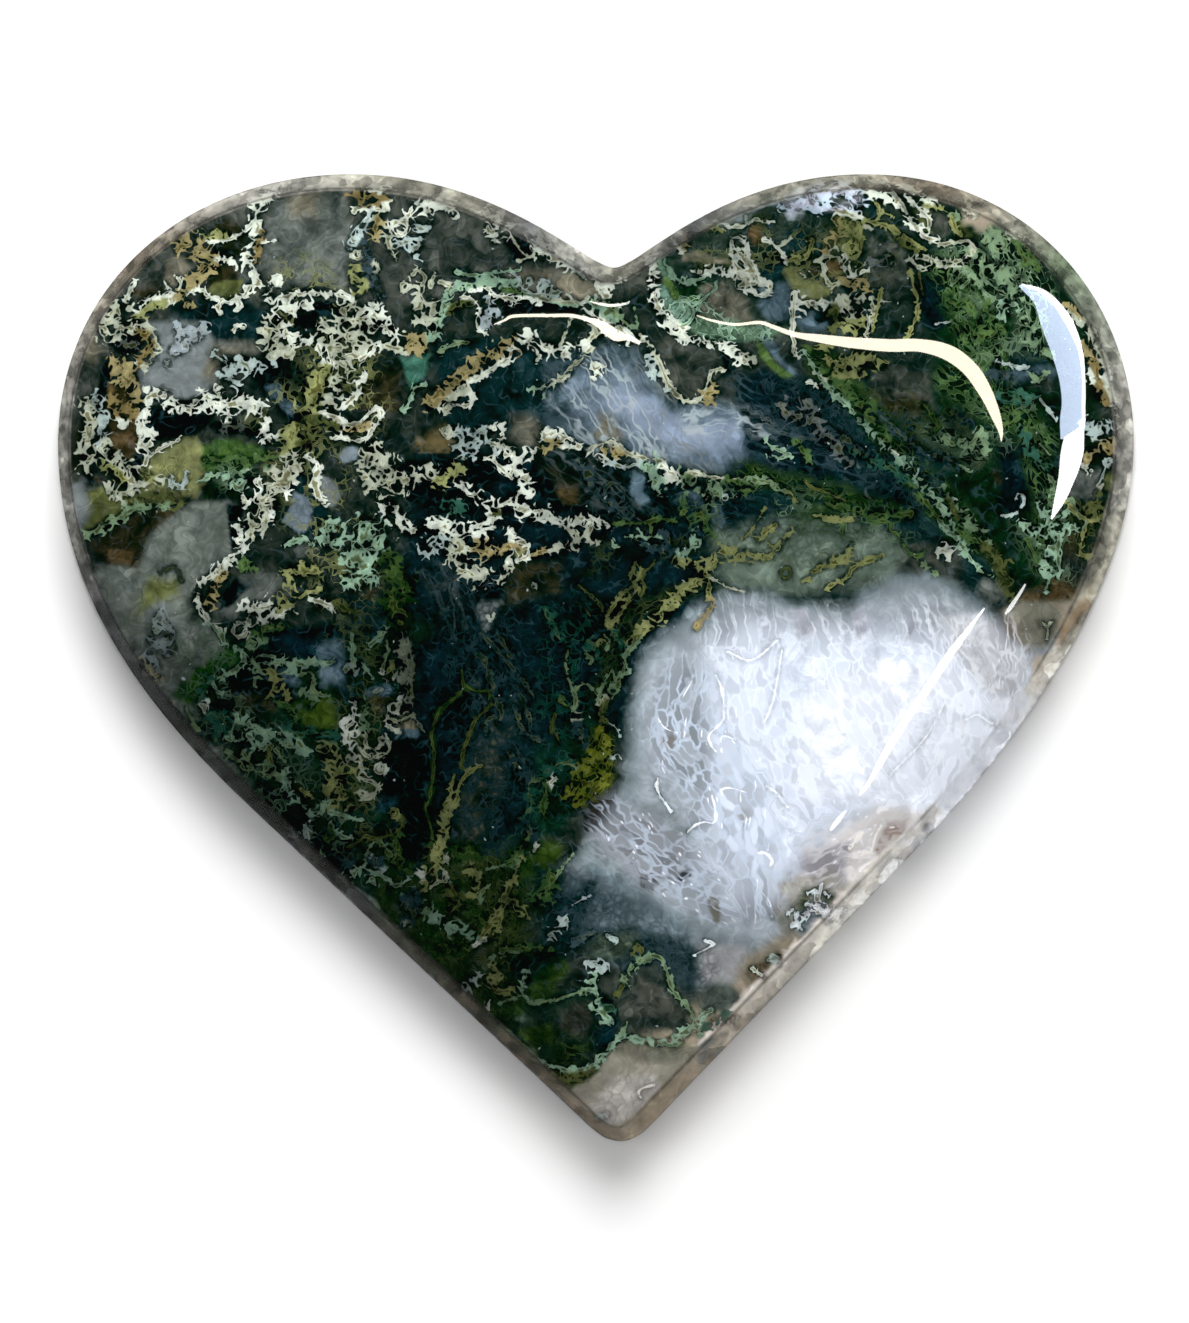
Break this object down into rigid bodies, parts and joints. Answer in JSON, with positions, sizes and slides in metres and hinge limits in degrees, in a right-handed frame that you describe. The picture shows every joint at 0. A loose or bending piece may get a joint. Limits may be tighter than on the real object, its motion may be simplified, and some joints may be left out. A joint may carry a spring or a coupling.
{
  "type": "moss agate heart",
  "caption": "Palm-sized heart cut as a cabochon from moss agate, with a flat polished back to lie on, a steep wall and a low dome. A display or pocket stone.",
  "frame": {"origin": "middle of the flat back, which is also the middle of the outline's box", "axes": "+Z out of the back towards the top of the dome, +X across the heart towards its right lobe as seen from above, +Y from the point towards the cleft"},
  "size_m": [0.0598, 0.0538, 0.0108],
  "materials": {
    "moss_agate": "polished"
  },
  "bodies": {
    "root": {"moss_agate_heart": "moss_agate"}
  },
  "joints": []
}
